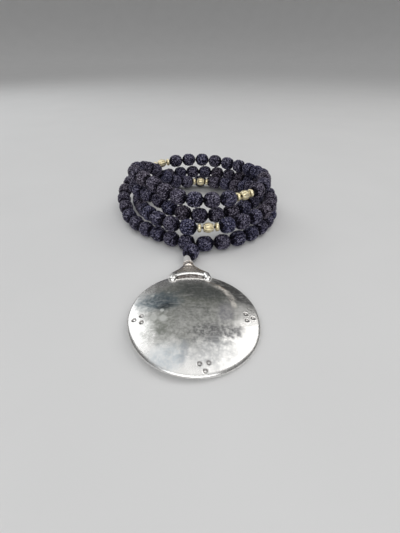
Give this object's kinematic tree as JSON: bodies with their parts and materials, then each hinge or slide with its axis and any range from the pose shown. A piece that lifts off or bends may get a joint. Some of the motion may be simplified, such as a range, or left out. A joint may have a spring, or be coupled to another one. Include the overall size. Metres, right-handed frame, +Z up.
{
  "type": "melong amulet pendant on a wound string of seed beads",
  "caption": "Round domed silver melong disc with a cast bail, tied through a guru bead to a long loop of dark drilled seed beads with metal marker beads, wound in a coil.",
  "frame": {"origin": "middle of the overall footprint, on the surface that the object lies on", "axes": "+Z up; +Y from the disc, which lies at the front, to the wound string behind it; +X to the right seen from the front"},
  "size_m": [0.1093, 0.1906, 0.0355],
  "materials": {
    "seed": "rough knobbly seeds, dyed near black with a violet tint, satin from handling",
    "guru_seed": "rough knobbly seed, near black with a slight reddish tint",
    "thread": "braided black thread",
    "old_silver": "old silver, worn bright at the edges, grey and blue-green tarnish, fine scratches",
    "marker_metal": "pale polished yellow metal"
  },
  "bodies": {
    "root": {"bead_string": "seed", "guru_bead": "guru_seed", "thread": "thread", "melong": "old_silver", "front_first_ring": "marker_metal", "front_barrel": "marker_metal", "front_second_ring": "marker_metal", "back_first_ring": "marker_metal", "back_barrel": "marker_metal", "back_second_ring": "marker_metal", "right_first_ring": "marker_metal", "right_barrel": "marker_metal", "right_second_ring": "marker_metal", "left_first_ring": "marker_metal", "left_barrel": "marker_metal", "left_second_ring": "marker_metal"}
  },
  "joints": []
}
